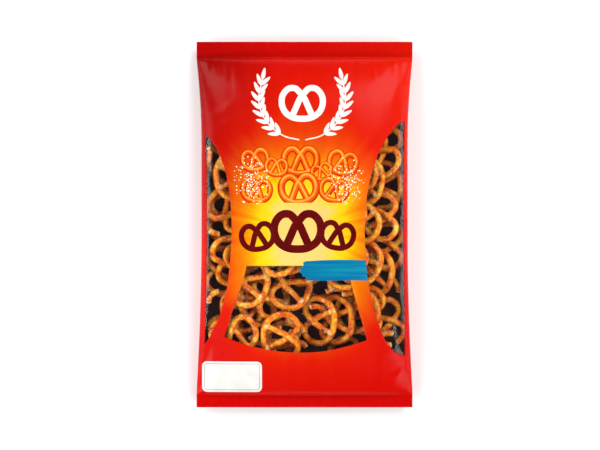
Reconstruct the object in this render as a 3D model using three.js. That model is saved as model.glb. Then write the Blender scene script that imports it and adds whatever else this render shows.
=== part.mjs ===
// A pillow bag of salted mini pretzels, lying on its back. Millimetres, +Z up.
// X runs across the bag, +Y towards its top edge, and the printed front faces +Z.
// The origin is on the surface that the bag lies on, under the middle of its outline.
//
// The bag is one web of film. It is folded round into a tube whose two edges meet in a fin along the
// middle of the back, and each end of the tube is pressed flat into a seal. The pretzels are loose inside.
import * as THREE from "three";

// Bag
const BAG_LENGTH = 315; // cut edge to cut edge
const FLAT_WIDTH = 186; // across the end seals, where the tube lies flat
const TOP_SEAL = 13;
const BOTTOM_SEAL = 10;
const FILM = 0.4; // wall of the solid; the real film is about 0.06
const LAYER_GAP = 0.3; // between sealed layers, which keeps each a surface of its own
const FIN_WIDTH = 10; // the back fin, folded over towards +X
const SIDE_DRAW_IN = 4.5; // each side moves in by this where the bag is full
const SEAL_HEIGHT = 9; // of the end seals above the resting surface
const FOLD_HEIGHT = 16.3; // of the side folds where the bag is full
const DOME_HEIGHT = 23; // of the front above the side folds
const TOP_SHOULDER = 75; // length over which the bag fills out from each seal
const BOTTOM_SHOULDER = 140;
const SHOULDER_POWER = 0.55; // lower makes the bag fill out sooner
const BACK_SHOULDER = 47; // length over which the back comes down to the surface
const FRONT_POWERS = [2.3, 0.6]; // of the section's curve: how flat its middle is, how steep its sides
const BACK_POWERS = [4, 0.5];
const BACK_REACH = 1.12; // depth of the back's curve over the fold's height; the surface cuts off the rest
const FIN_STEP = 4; // width over which the film above the fin steps up on to it
const FIN_EDGE = 1; // the fold at the fin's root starts this far from the middle

// Pretzel
const HALF_SECTION = 2.8; // of a square section with its edges taken off, as large as a round one of radius 3
const CHAMFER = 1.3;
const HOLE_INSET = 2.2; // less than HALF_SECTION, because a hole's few straight sides cut into it
const PRETZEL_COUNT = 59;
const TWIST_LIFT = 1.2; // how far each strand leaves the middle plane where two strands cross

// Filling
const BEAD_STEP = 2; // spacing of the beads along a rope that stand for it while the bag is filled
const BEAD_RADIUS = 3.25;
const FILL_TOP = 104; // the filling reaches up to this Y
const WALL_CLEARANCE = 0.4;
const SLOPE_ALLOWANCE = 1.12; // a bead meets the sloping front off to one side, which takes more height
const FACE_DOWN_SHARE = 0.4;
const STEEPEST_LEAN = 0.9; // radians
const LEAN_POWER = 1.5; // more than 1 makes small leans likelier than large ones
const SIDE_PULL = 1.8; // more than 0 fills the bag beside its side folds sooner than in its middle
const BOTTOM_PULL = 0.4; // more than 0 fills the bag near its bottom sooner
const FIRST_TRIES = 1500; // random poses tried for each pretzel
const MOST_ROUNDS = 8; // of those tries, until one fits
const FLATTER = 0.6; // each round's lean over the one before
const NUDGES = 350; // small moves that then let it settle
const NUDGE = { move: 10, spin: 0.8, lean: 0.12, towards: 0.6 }; // the first one's range
const CELLS_ALONG = 1000; // more than the bag's length holds
const SEED = 9;

const PITCH = FILM + LAYER_GAP;
const HALF_LENGTH = BAG_LENGTH / 2;

// ---------- The bag's shape ----------

const clamp01 = (t) => Math.min(1, Math.max(0, t));

// 0 at a seal to 1 where the bag is full.
const rise = (t) => (1 - (1 - clamp01(t)) ** 2) ** SHOULDER_POWER;

// Across the bag, from 1 in the middle to 0 at the side folds.
const bulge = (x, y, [flatness, steepness]) =>
  (1 - clamp01(Math.abs(x) / halfWidth(y)) ** flatness) ** steepness;

const aboveBottomSeal = (y) => y + HALF_LENGTH - BOTTOM_SEAL;
const belowTopSeal = (y) => HALF_LENGTH - TOP_SEAL - y;

const fullness = (y) =>
  rise(aboveBottomSeal(y) / BOTTOM_SHOULDER) * rise(belowTopSeal(y) / TOP_SHOULDER);

const touchdown = (y) => rise(Math.min(aboveBottomSeal(y), belowTopSeal(y)) / BACK_SHOULDER);

const halfWidth = (y) => FLAT_WIDTH / 2 - SIDE_DRAW_IN * fullness(y) ** 2;

const foldHeight = (y) => SEAL_HEIGHT + (FOLD_HEIGHT - SEAL_HEIGHT) * fullness(y);

// Middle of the film's wall on the back: a curve cut off level where it meets the surface.
function backHeight(x, y) {
  const drop = BACK_REACH * foldHeight(y) * touchdown(y) * bulge(x, y, BACK_POWERS);
  return Math.max(FILM / 2, foldHeight(y) - drop);
}

// Middle of the film's wall on the front.
const frontHeight = (x, y) =>
  foldHeight(y) + PITCH + DOME_HEIGHT * fullness(y) * bulge(x, y, FRONT_POWERS);

// ---------- Film ----------

// Shares of the half width at which the section has a point, closer together towards the folds.
const BACK_SHARES = [0.3, 0.6, 0.75, 0.86, 0.94, 0.985];
const FRONT_SHARES = [0.3, 0.5, 0.68, 0.83, 0.93, 0.985];

// The film's wall centreline across the bag, as [x, z] points from one edge of the web to the other.
// It starts at the fin's lower layer, goes round by -X, the front and +X, and ends as the fin's upper layer.
function webLine(y) {
  const side = halfWidth(y);
  const { smoothstep } = THREE.MathUtils;
  const back = (x, layers = 0) => [x, backHeight(x, y) + layers * PITCH];
  const front = (x) => {
    const overFin = smoothstep(x, -FIN_STEP, 0) - smoothstep(x, FIN_WIDTH, FIN_WIDTH + FIN_STEP);
    return [x, frontHeight(x, y) + 2 * PITCH * overFin * (1 - fullness(y))];
  };
  const foldPoint = (sign) => [sign * (side + PITCH / 2), foldHeight(y) + PITCH / 2];
  return [
    back(FIN_WIDTH),
    back(0),
    ...BACK_SHARES.map((share) => back(-share * side)),
    foldPoint(-1),
    ...FRONT_SHARES.toReversed().map((share) => front(-share * side)),
    front(-FIN_STEP),
    front(0),
    front(FIN_WIDTH),
    front(FIN_WIDTH + FIN_STEP),
    ...FRONT_SHARES.slice(1).map((share) => front(share * side)),
    foldPoint(1),
    ...BACK_SHARES.slice(1).toReversed().map((share) => back(share * side)),
    back(FIN_WIDTH + FIN_STEP),
    back(FIN_WIDTH + FIN_EDGE, 2),
    back(FIN_EDGE, 2),
    [-FIN_EDGE / 5, backHeight(0, y) + 1.5 * PITCH],
    back(FIN_EDGE, 1),
    back(FIN_WIDTH, 1),
  ];
}

// The closed outline of the film's section: its centreline moved out by half the wall, and back inside.
// Where the wall lies on the surface, out is straight down, so that the bag rests on an exactly flat patch.
function filmSection(y) {
  const line = webLine(y).map(([x, z]) => new THREE.Vector2(x, z));
  const normals = line.map((point, i) => {
    if (point.y === FILM / 2) {
      return new THREE.Vector2(0, -FILM / 2);
    }
    const before = line[Math.max(0, i - 1)];
    const after = line[Math.min(line.length - 1, i + 1)];
    const along = after.clone().sub(before).normalize();
    return new THREE.Vector2(-along.y, along.x).multiplyScalar(FILM / 2);
  });
  const outside = line.map((p, i) => p.clone().add(normals[i]));
  const inside = line.map((p, i) => p.clone().sub(normals[i]));
  return [...outside, ...inside.toReversed()];
}

// Stations along the bag: the seals' edges, and closer together where the shape turns.
function filmStations() {
  const bottom = -HALF_LENGTH;
  const top = HALF_LENGTH;
  const bottomSteps = [0, BOTTOM_SEAL, 14, 20, 30, 45, 70, 105, 150];
  const topSteps = [105, 78, 56, 40, 29, 21, 16.5, TOP_SEAL, 0];
  return [...bottomSteps.map((d) => bottom + d), ...topSteps.map((d) => top - d)];
}

// Joins the sections at all stations into one closed skin, with a cap on each end.
function filmGeometry() {
  const stations = filmStations();
  const sections = stations.map(filmSection);
  const around = sections[0].length;
  const positions = [];
  sections.forEach((section, i) => section.forEach((p) => positions.push(p.x, stations[i], p.y)));
  const faces = [];
  for (let i = 0; i + 1 < stations.length; i++) {
    for (let k = 0; k < around; k++) {
      const a = i * around + k;
      const b = i * around + ((k + 1) % around);
      faces.push(a, b, a + around, b, b + around, a + around);
    }
  }
  // The section is a strip: point k of one side lies across from point around - 1 - k of the other.
  const last = (stations.length - 1) * around;
  for (let k = 0; k + 1 < around / 2; k++) {
    const across = around - 1 - k;
    faces.push(k, across, k + 1, across, across - 1, k + 1);
    faces.push(last + k, last + k + 1, last + across, last + across, last + k + 1, last + across - 1);
  }
  const geometry = new THREE.BufferGeometry();
  geometry.setAttribute("position", new THREE.Float32BufferAttribute(positions, 3));
  geometry.setIndex(faces);
  geometry.computeVertexNormals();
  return geometry;
}

// ---------- Pretzel ----------

const toVector = (point) => new THREE.Vector3(...point);
const mirror = ([x, ...rest]) => [-x, ...rest];

// Middle line of the rope's right half: from the belly's middle round the lobe, over to the left at the
// crossing, and down to where the end lies against the belly.
const BELLY_MIDDLE = [0, -15.6, 0];
const RIGHT_HALF = [
  [8.8, -14.4, 0],
  [16.2, -9.2, 0],
  [19.4, -1, 0],
  [18.2, 7.4, 0],
  [12.8, 13.2, 0],
  [6.6, 13.4, 0.3],
  [2.1, 9.2, TWIST_LIFT],
  [-2, 3.8, TWIST_LIFT],
  [-5.4, -3.8, 0.3],
  [-8.2, -10.2, 0.3],
  [-9.3, -13, 0.5],
];

// The rope from end to end. At the crossing the left strand passes under the right one.
function ropeCurve() {
  const leftHalf = RIGHT_HALF.map(mirror).map(([x, y, z]) => [x, y, y > 0 ? -z : z]);
  const points = [...leftHalf.toReversed(), BELLY_MIDDLE, ...RIGHT_HALF];
  return new THREE.CatmullRomCurve3(points.map(toVector), false, "centripetal");
}

// The same middle line as three flat loops with few corners: all the way round, a lobe, and the belly's gap.
const RIGHT_SIDE = RIGHT_HALF.slice(0, 6);
const OUTER_LOOP = [BELLY_MIDDLE, ...RIGHT_SIDE, [0, 7.4], ...RIGHT_SIDE.toReversed().map(mirror)];
const RIGHT_LOOP = [[0, 6.4], [9.6, -14.2], [16.6, -8.6], [19.4, -0.6], [17.6, 8.6], [8.6, 14.4]];
const BELLY_LOOP = [[0, 6.4], [-9.4, -14.4], [0, -15.6], [9.4, -14.4]];

// A loop that goes round anticlockwise, with each side moved inwards.
function inset(loop, by) {
  const corner = (i) => new THREE.Vector2(...loop.at(i % loop.length));
  return loop.map((_, i) => {
    const before = corner(i).sub(corner(i - 1)).normalize();
    const after = corner(i + 1).sub(corner(i)).normalize();
    const inwards = new THREE.Vector2(-before.y - after.y, before.x + after.x).normalize();
    const reach = by / inwards.dot(new THREE.Vector2(-after.y, after.x));
    return corner(i).addScaledVector(inwards, reach);
  });
}

// The pretzel as a flat ring with three holes. Its section is square with its edges taken off, and has the
// round rope's area.
function pretzelGeometry() {
  const lobeHole = inset(RIGHT_LOOP, HOLE_INSET);
  const otherHole = lobeHole.map((p) => new THREE.Vector2(-p.x, p.y)).toReversed();
  const shape = new THREE.Shape(inset(OUTER_LOOP, -HALF_SECTION));
  shape.holes = [lobeHole, otherHole, inset(BELLY_LOOP, HOLE_INSET)].map((hole) => new THREE.Path(hole));
  const geometry = new THREE.ExtrudeGeometry(shape, {
    depth: 2 * (HALF_SECTION - CHAMFER),
    bevelThickness: CHAMFER,
    bevelSize: CHAMFER,
    bevelOffset: -CHAMFER,
    bevelSegments: 1,
  });
  return geometry.translate(0, 0, CHAMFER - HALF_SECTION);
}

// ---------- Filling the bag ----------

// Repeatable random numbers from 0 to 1.
function randomStream(seed) {
  let state = seed;
  return () => {
    state = (state + 0x6d2b79f5) | 0;
    let t = Math.imul(state ^ (state >>> 15), 1 | state);
    t = (t + Math.imul(t ^ (t >>> 7), 61 | t)) ^ t;
    return ((t ^ (t >>> 14)) >>> 0) / 4294967296;
  };
}

// Lowest and highest place for the middle of a bead at x, y, or null outside the bag.
function room(x, y) {
  const clearance = BEAD_RADIUS + WALL_CLEARANCE;
  const side = halfWidth(y) - clearance;
  if (Math.abs(x) >= side || aboveBottomSeal(y) < clearance || belowTopSeal(y) < clearance) return null;
  const stretched = (x / side) * halfWidth(y);
  const fin = x > -BEAD_RADIUS && x < FIN_WIDTH + FIN_STEP ? 2 * PITCH : 0;
  return {
    low: backHeight(stretched, y) + fin + clearance,
    high: frontHeight(stretched, y) - clearance * SLOPE_ALLOWANCE,
  };
}

// Beads along the rope that stand for a pretzel. Where a strand is lifted, its flat place is filled too.
function pretzelBeads() {
  const curve = ropeCurve();
  const along = curve.getSpacedPoints(Math.round(curve.getLength() / BEAD_STEP));
  const lifted = along.filter((b) => Math.abs(b.z) > TWIST_LIFT / 3);
  return [...along, ...lifted.map((b) => new THREE.Vector3(b.x, b.y, 0))];
}

// Beads at rest in the bag, sorted into square cells so that the ones near a place are found fast.
class Pile {
  constructor(cell) {
    this.cell = cell;
    this.beads = new Map();
  }
  key(x, y) {
    return Math.floor(x / this.cell) * CELLS_ALONG + Math.floor(y / this.cell);
  }
  add(beads) {
    for (const b of beads) {
      const key = this.key(b.x, b.y);
      if (!this.beads.has(key)) this.beads.set(key, []);
      this.beads.get(key).push(b);
    }
  }
  // How high a bead over x, y comes to rest on the beads in the pile.
  support(x, y) {
    const reach = 2 * BEAD_RADIUS;
    let top = -Infinity;
    for (let i = -1; i <= 1; i++) {
      for (let j = -1; j <= 1; j++) {
        for (const b of this.beads.get(this.key(x + i * this.cell, y + j * this.cell)) ?? []) {
          const apart = reach ** 2 - (b.x - x) ** 2 - (b.y - y) ** 2;
          if (apart > 0) top = Math.max(top, b.z + Math.sqrt(apart));
        }
      }
    }
    return top;
  }
}

// Lets a pretzel of beads sink straight down at a pose. Gives its height and the place's cost, from its level
// between the bag's back (0) and front (1) and from where it is.
function drop(pile, beads, pose) {
  const turned = beads.map((b) => b.clone().applyQuaternion(pose.turn));
  let height = -Infinity;
  const rooms = [];
  for (const b of turned) {
    const found = room(b.x + pose.x, b.y + pose.y);
    if (!found || b.y + pose.y > FILL_TOP) return null;
    rooms.push(found);
    height = Math.max(height, Math.max(found.low, pile.support(b.x + pose.x, b.y + pose.y)) - b.z);
  }
  if (turned.some((b, i) => b.z + height > rooms[i].high)) return null;
  const middle = room(pose.x, pose.y);
  if (!middle) return null;
  const level = (height - middle.low) / (middle.high - middle.low);
  const pull = (SIDE_PULL * Math.abs(pose.x)) / halfWidth(pose.y) - (BOTTOM_PULL * pose.y) / HALF_LENGTH;
  return { height, cost: level - pull };
}

// A turn about Z, then a lean of the whole pretzel about a level axis.
function turnOf(spin, lean, towards) {
  const axis = new THREE.Vector3(Math.cos(towards), Math.sin(towards), 0);
  const leaning = new THREE.Quaternion().setFromAxisAngle(axis, lean);
  return leaning.multiply(new THREE.Quaternion().setFromAxisAngle(new THREE.Vector3(0, 0, 1), spin));
}

// Fills the bag with one pretzel after another: each takes the cheapest of many random places, then settles.
function fillBag() {
  const random = randomStream(SEED);
  const beads = pretzelBeads();
  const pile = new Pile(2 * BEAD_RADIUS);
  const placed = [];
  const posed = (p) => ({ ...p, turn: turnOf(p.spin, p.lean, p.towards) });
  for (let n = 0; n < PRETZEL_COUNT; n++) {
    const faceDown = random() < FACE_DOWN_SHARE ? Math.PI : 0;
    let best = null;
    const consider = (candidate) => {
      const found = drop(pile, beads, candidate);
      if (found && (!best || found.cost < best.cost)) best = { ...candidate, ...found };
    };
    let tilt = random() ** LEAN_POWER * STEEPEST_LEAN;
    for (let round = 0; round < MOST_ROUNDS && !best; round++, tilt *= FLATTER) {
      for (let i = 0; i < FIRST_TRIES; i++) {
        consider(
          posed({
            x: (random() - 0.5) * FLAT_WIDTH,
            y: (random() - 0.5) * BAG_LENGTH,
            spin: random() * 2 * Math.PI,
            lean: faceDown + tilt,
            towards: random() * 2 * Math.PI,
          }),
        );
      }
    }
    if (!best) throw new Error(`pretzel ${n + 1} finds no room in the bag`);
    for (let i = 0; i < NUDGES; i++) {
      const nudge = (range) => (random() - 0.5) * range * (1 - i / NUDGES);
      consider(
        posed({
          x: best.x + nudge(NUDGE.move),
          y: best.y + nudge(NUDGE.move),
          spin: best.spin + nudge(NUDGE.spin),
          lean: best.lean + nudge(NUDGE.lean),
          towards: best.towards + nudge(NUDGE.towards),
        }),
      );
    }
    const place = new THREE.Vector3(best.x, best.y, best.height);
    pile.add(beads.map((b) => b.clone().applyQuaternion(best.turn).add(place)));
    placed.push(best);
  }
  return placed;
}

// ---------- Assembly ----------

const filmMaterial = new THREE.MeshStandardMaterial({ color: 0xdc1408, roughness: 0.3, metalness: 0 });
const crustMaterial = new THREE.MeshStandardMaterial({ color: 0xb8661f, roughness: 0.5, metalness: 0 });

function namedMesh(name, geometry, material) {
  const mesh = new THREE.Mesh(geometry, material);
  mesh.name = name;
  return mesh;
}

const bag = new THREE.Group();
bag.add(namedMesh("bag_film", filmGeometry(), filmMaterial));

const pretzelShape = pretzelGeometry();
const filling = new THREE.Group();
fillBag().forEach((pose, i) => {
  const pretzel = namedMesh(`pretzel_${String(i + 1).padStart(2, "0")}`, pretzelShape, crustMaterial);
  pretzel.position.set(pose.x, pose.y, pose.height);
  pretzel.quaternion.copy(pose.turn);
  filling.add(pretzel);
});
bag.add(filling);

export default bag;
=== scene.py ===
"""The looks of a filled snack bag of salted mini pretzels, lying on its back with its printed front up.

Metres, +Z up. X runs across the bag and +Y towards its top edge. The origin is on the surface under the
middle of the bag.
"""

import math

import bpy
import numpy as np
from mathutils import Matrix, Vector, kdtree, noise
from mathutils.geometry import delaunay_2d_cdt


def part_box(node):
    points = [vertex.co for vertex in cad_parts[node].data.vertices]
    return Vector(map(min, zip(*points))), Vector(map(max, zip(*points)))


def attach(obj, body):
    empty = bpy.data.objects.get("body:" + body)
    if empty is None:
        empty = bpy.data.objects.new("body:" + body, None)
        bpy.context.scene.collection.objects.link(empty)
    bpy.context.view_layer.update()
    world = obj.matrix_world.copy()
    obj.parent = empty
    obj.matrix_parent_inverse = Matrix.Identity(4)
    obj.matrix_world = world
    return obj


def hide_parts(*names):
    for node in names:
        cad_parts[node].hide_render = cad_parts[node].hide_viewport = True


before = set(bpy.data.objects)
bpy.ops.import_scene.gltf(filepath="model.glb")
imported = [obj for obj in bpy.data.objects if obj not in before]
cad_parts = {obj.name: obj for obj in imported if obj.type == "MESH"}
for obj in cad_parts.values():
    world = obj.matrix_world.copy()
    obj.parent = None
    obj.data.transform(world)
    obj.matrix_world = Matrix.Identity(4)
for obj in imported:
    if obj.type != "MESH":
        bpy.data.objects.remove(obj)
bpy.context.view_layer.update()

MM = 0.001
SEED = 11

# ---------- Sizes ----------

film_low, film_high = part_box("bag_film")
HALF_LENGTH = (film_high.y - film_low.y) / 2
FLAT_WIDTH = 186 * MM  # across the end seals, where the tube lies flat
TOP_SEAL = 13 * MM
BOTTOM_SEAL = 10 * MM
SIDE_DRAW_IN = 4.5 * MM
SEAL_HEIGHT = 9.35 * MM  # middle of the two layers of the end seals
FOLD_HEIGHT = 16.65 * MM  # of the side folds where the bag is full
DOME_HEIGHT = 23 * MM
TOP_SHOULDER = 75 * MM  # from the top seal to where the bag is full
BOTTOM_SHOULDER = 140 * MM
SHOULDER_POWER = 0.55
BACK_SHOULDER = 47 * MM  # from a seal to where the back rests on the surface
FRONT_POWERS = (2.3, 0.6)  # the front's roundness across the bag
BACK_POWERS = (4, 0.5)
BACK_REACH = 1.12  # over 1, so that the back rests on a flat patch
WALL = 0.12 * MM  # film as it is shown
FIN_WIDTH = 10 * MM
FIN_STEP = 3 * MM  # over which the back rises onto the fin
CLEARANCE = 0.5 * MM  # between the filling and the front, away from the seals and folds
RIB_PITCH = 1.5 * MM  # of the ribs pressed across the end seals
RIB_HEIGHT = 0.06 * MM
SOFT_WAVE = 0.9 * MM
CREASE_HEIGHT = 2.4 * MM

VIEW_WIDTH = 0.5154  # what the camera sees across, at the height of the bag's outline
VIEW_MIDDLE = (-0.0039, -0.0004)
VIEW_DISTANCE = 2.2
SENSOR_WIDTH = 36.0
SOFTBOXES = (  # name, place, size and watts
    ("key", (1.15, 1.3, 1.75), (1.3, 1.3), 36),
    ("right_front", (1.3, -0.9, 1.1), (0.9, 0.9), 15),
    ("left_front", (-1.2, -1.1, 1.1), (0.9, 0.9), 21),
    ("left_back", (-1.2, 1.1, 1.1), (0.9, 0.9), 16),
    ("left_strip", (-1.5, 0.0, 0.3), (1.6, 0.35), 8),
    ("right_strip", (1.5, 0.0, 0.3), (1.6, 0.35), 6),
)


# ---------- Camera, floor and light ----------

def add_object(name, data):
    made = bpy.data.objects.new(name, data)
    bpy.context.scene.collection.objects.link(made)
    return made


def add_camera():
    lens = bpy.data.cameras.new("camera")
    lens.sensor_width = SENSOR_WIDTH
    lens.lens = SENSOR_WIDTH * VIEW_DISTANCE / VIEW_WIDTH
    camera = add_object("camera", lens)
    camera.location = (*VIEW_MIDDLE, VIEW_DISTANCE + FOLD_HEIGHT)
    bpy.context.scene.camera = camera


def add_softbox(name, place, size, power):
    light = bpy.data.lights.new(name, "AREA")
    light.shape = "RECTANGLE"
    light.size, light.size_y = size
    light.energy = power
    box = add_object(name, light)
    box.location = place
    box.rotation_euler = (-Vector(place)).to_track_quat("-Z", "Y").to_euler()


def add_studio():
    scene = bpy.context.scene
    scene.view_settings.view_transform = "Standard"
    world = bpy.data.worlds.new("studio")
    scene.world = world
    world.use_nodes = True
    backdrop = world.node_tree.nodes["Background"]
    backdrop.inputs["Color"].default_value = (1, 0.99, 0.98, 1)
    backdrop.inputs["Strength"].default_value = 0.3
    for softbox in SOFTBOXES:
        add_softbox(*softbox)
    bpy.ops.mesh.primitive_plane_add(size=8)
    floor = bpy.context.object
    floor.name = "floor"
    paint = bpy.data.materials.new("floor_white")
    paint.use_nodes = True
    surface = paint.node_tree.nodes["Principled BSDF"]
    surface.inputs["Base Color"].default_value = (0.93, 0.93, 0.93, 1)
    surface.inputs["Roughness"].default_value = 0.9
    floor.data.materials.append(paint)


# ---------- Node materials ----------

PRINT_SPECULAR = 0.085
GLOW_X = -1.5 * MM  # middle of the printed glow
GLOW_Y = -5 * MM
GLOW_ACROSS = [(0, 1.0), (0.18, 1.0), (0.36, 0.82), (0.5, 0.55), (0.58, 0.42), (0.66, 0.2), (0.9, 0.0)]
GLOW_ALONG = [(0, 0.0), (0.08, 0.06), (0.2, 0.3), (0.3, 0.84), (0.4, 1.0), (0.45, 1.0), (0.54, 1.0),
              (0.61, 0.86), (0.67, 0.62), (0.72, 0.36), (0.76, 0.22), (0.84, 0.1), (0.95, 0.02)]


def ink(red, green, blue):
    """A printer's colour, 0 to 255, as the light that it gives back."""
    shares = [channel / 255 for channel in (red, green, blue)]
    return tuple(c / 12.92 if c < 0.04045 else ((c + 0.055) / 1.055) ** 2.4 for c in shares)


class Finish:
    """A node material under construction."""

    def __init__(self, name):
        self.material = bpy.data.materials.new(name)
        self.material.use_nodes = True
        self.tree = self.material.node_tree
        self.tree.nodes.clear()
        self.output = self.tree.nodes.new("ShaderNodeOutputMaterial")
        self.place = self.node("TexCoord").outputs["Object"]

    def node(self, kind, inputs=None, **settings):
        made = self.tree.nodes.new("ShaderNode" + kind)
        for key, value in settings.items():
            setattr(made, key, value)
        for key, value in (inputs or {}).items():
            self.feed(made.inputs[key], value)
        return made

    def feed(self, socket, value):
        if isinstance(value, bpy.types.NodeSocket):
            self.tree.links.new(value, socket)
        elif isinstance(value, tuple) and len(value) == 3 and socket.type == "RGBA":
            socket.default_value = (*value, 1)
        else:
            socket.default_value = value

    def noise(self, scale, detail=3, roughness=0.5, place=None, **inputs):
        found = self.node("TexNoise", {"Vector": place or self.place, "Scale": scale,
                                       "Detail": detail, "Roughness": roughness, **inputs})
        return found.outputs["Fac"]

    def stretched(self, scale):
        """The piece's own place, with each axis scaled."""
        return self.node("Mapping", {"Vector": self.place, "Scale": scale}).outputs["Vector"]

    def axis(self, letter):
        """How far along X or Y the shaded point is."""
        return self.node("SeparateXYZ", {"Vector": self.place}).outputs[letter]

    def ramp(self, factor, stops):
        made = self.node("ValToRGB", {"Fac": factor})
        band = made.color_ramp
        while len(band.elements) < len(stops):
            band.elements.new(0.5)
        for element, (at, colour) in zip(band.elements, stops):
            element.position = at
            shown = colour if isinstance(colour, tuple) else (colour, colour, colour)
            element.color = (*shown, 1)
        return made.outputs["Color"]

    def math(self, operation, first, second=0.0, clamp=False):
        made = self.node("Math", operation=operation, use_clamp=clamp)
        self.feed(made.inputs[0], first)
        self.feed(made.inputs[1], second)
        return made.outputs[0]

    def span(self, value, low, high, to_low=0.0, to_high=1.0):
        """value between low and high, as a share from to_low to to_high."""
        made = self.node("MapRange", {"Value": value, "From Min": low, "From Max": high,
                                      "To Min": to_low, "To Max": to_high})
        return made.outputs["Result"]

    def mix(self, factor, first, second, mode="MIX"):
        made = self.node("Mix", data_type="RGBA", blend_type=mode)
        self.feed(made.inputs[0], factor)
        self.feed(made.inputs[6], first)
        self.feed(made.inputs[7], second)
        return made.outputs[2]

    def bump(self, height, strength, distance, under=None):
        made = self.node("Bump", {"Height": height, "Strength": strength, "Distance": distance})
        if under:
            self.feed(made.inputs["Normal"], under)
        return made.outputs["Normal"]

    def attribute(self, name):
        return self.node("Attribute", attribute_name=name).outputs["Fac"]

    def surface(self, **inputs):
        named = {key.replace("_", " "): value for key, value in inputs.items()}
        shader = self.node("BsdfPrincipled", named)
        return self.end(shader.outputs["BSDF"])

    def end(self, shader):
        self.tree.links.new(shader, self.output.inputs["Surface"])
        return self.material


def film_bump(finish, slackness=1.0):
    """Fine waviness of thin film: soft dents and short creases."""
    dents = finish.noise(38, detail=2)
    creases = finish.noise(1.0, detail=3, place=finish.stretched((150, 40, 90)), Distortion=0.8)
    soft = finish.bump(dents, 0.35 * slackness, 1.2 * MM)
    return finish.bump(creases, 0.2 * slackness, 0.25 * MM, under=soft)


def gloss(finish):
    """Roughness of printed film, a little duller in patches where it was handled."""
    return finish.span(finish.noise(60, detail=4), 0.3, 0.75, 0.2, 0.34)


def printed(finish, colour):
    """The finish of ink on film, in a colour."""
    return finish.surface(Base_Color=colour, Roughness=gloss(finish), Normal=film_bump(finish),
                          Specular_IOR_Level=PRINT_SPECULAR)


def glow(finish):
    """The printed glow behind the picture: 0 in plain red, 1 in its pale middle."""
    across, along = finish.axis("X"), finish.axis("Y")
    from_middle = finish.node("Mapping", {"Vector": finish.place, "Location": (-GLOW_X, -GLOW_Y, 0.0),
                                          "Scale": (1.0, 1.0, 0.0)}).outputs["Vector"]
    outward = finish.node("VectorMath", {0: from_middle}, operation="NORMALIZE").outputs[0]
    rays = finish.span(finish.noise(9.0, detail=3, place=outward), 0.3, 0.7, -1, 1)
    off_centre = finish.math("ABSOLUTE", finish.math("ADD", across, -GLOW_X))
    wide = finish.math("ADD", off_centre, finish.math("MULTIPLY", rays, 4.5 * MM))
    high = finish.math("ADD", along, finish.math("MULTIPLY", rays, 3 * MM))
    return finish.math("MULTIPLY", finish.ramp(finish.span(wide, 0, 100 * MM), GLOW_ACROSS),
                       finish.ramp(finish.span(high, -150 * MM, 150 * MM), GLOW_ALONG))


PRINTED_SALT = ink(255, 246, 226)
SPLASHES = ((-45 * MM, 37 * MM, 40 * MM), (35 * MM, 35 * MM, 40 * MM))  # their middles


def salt_splash(finish):
    """Printed white specks, thick at two places beside the picture."""
    cells = finish.node("TexVoronoi", {"Vector": finish.place, "Scale": 620.0}, feature="F1")
    specks = finish.math("LESS_THAN", cells.outputs["Distance"], 0.34)
    thick = None
    for middle in SPLASHES:
        near = finish.node("VectorMath", {0: finish.place, 1: middle}, operation="SUBTRACT")
        flat = finish.node("VectorMath", {0: near.outputs[0], 1: (1.0, 0.8, 0.0)}, operation="MULTIPLY")
        apart = finish.node("VectorMath", {0: flat.outputs[0]}, operation="LENGTH").outputs["Value"]
        share = finish.span(apart, 2 * MM, 18 * MM, 1.0, 0.0)
        thick = share if thick is None else finish.math("MAXIMUM", thick, share)
    chance = finish.node("SeparateColor", {"Color": cells.outputs["Color"]}).outputs["Red"]
    chosen = finish.math("LESS_THAN", chance, thick)
    return finish.math("MULTIPLY", specks, chosen)


def printed_red():
    """Red front with its printed glow; painted shade towards the upper left and painted light towards the
    upper right; darker bands on the seals, partly print and partly painted shade.
    """
    finish = Finish("printed_red")
    colour = finish.ramp(glow(finish), [
        (0.0, ink(194, 6, 0)), (0.12, ink(202, 24, 2)), (0.3, ink(210, 72, 4)), (0.5, ink(216, 110, 4)),
        (0.68, ink(234, 152, 4)), (0.8, ink(236, 188, 8)), (0.9, ink(232, 198, 34)),
        (1.0, ink(228, 194, 106))])
    clouds = finish.span(finish.noise(16, detail=3), 0.35, 0.65)
    darkened = finish.mix(1.0, colour, (0.75, 0.4, 0.4), "MULTIPLY")
    shaded = finish.mix(finish.math("MULTIPLY", clouds, 0.22), colour, darkened)
    across, along = finish.axis("X"), finish.axis("Y")
    # The darker seal bands are partly print and partly painted shade.
    top = finish.math("GREATER_THAN", along, HALF_LENGTH - TOP_SEAL)
    bottom = finish.math("LESS_THAN", along, BOTTOM_SEAL - HALF_LENGTH)
    seals = finish.math("MULTIPLY", finish.math("MAXIMUM", top, bottom), 0.55)
    # Painted light and shade: the upper left is darkened and the upper right brightened, as light from the
    # right would do.
    upper = finish.span(along, -20 * MM, 120 * MM)
    left = finish.math("MULTIPLY", finish.span(across, -20 * MM, -90 * MM, 0.0, 0.85), upper)
    right = finish.math("MULTIPLY", finish.span(across, 0, 90 * MM, 0.0, 0.5), upper)
    lit_and_shaded = finish.mix(left, finish.mix(right, shaded, ink(224, 34, 4)), ink(122, 0, 0))
    banded = finish.mix(seals, lit_and_shaded, ink(176, 0, 0))
    return printed(finish, finish.mix(salt_splash(finish), banded, PRINTED_SALT))


def printed_ink(name, colour, darker, specks=False):
    """One flat ink of the artwork, uneven in the way that printed film is."""
    finish = Finish(name)
    uneven = finish.span(finish.noise(90, detail=4), 0.35, 0.7)
    shown = finish.mix(uneven, ink(*colour), ink(*darker))
    if specks:
        shown = finish.mix(salt_splash(finish), shown, PRINTED_SALT)
    return printed(finish, shown)


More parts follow.
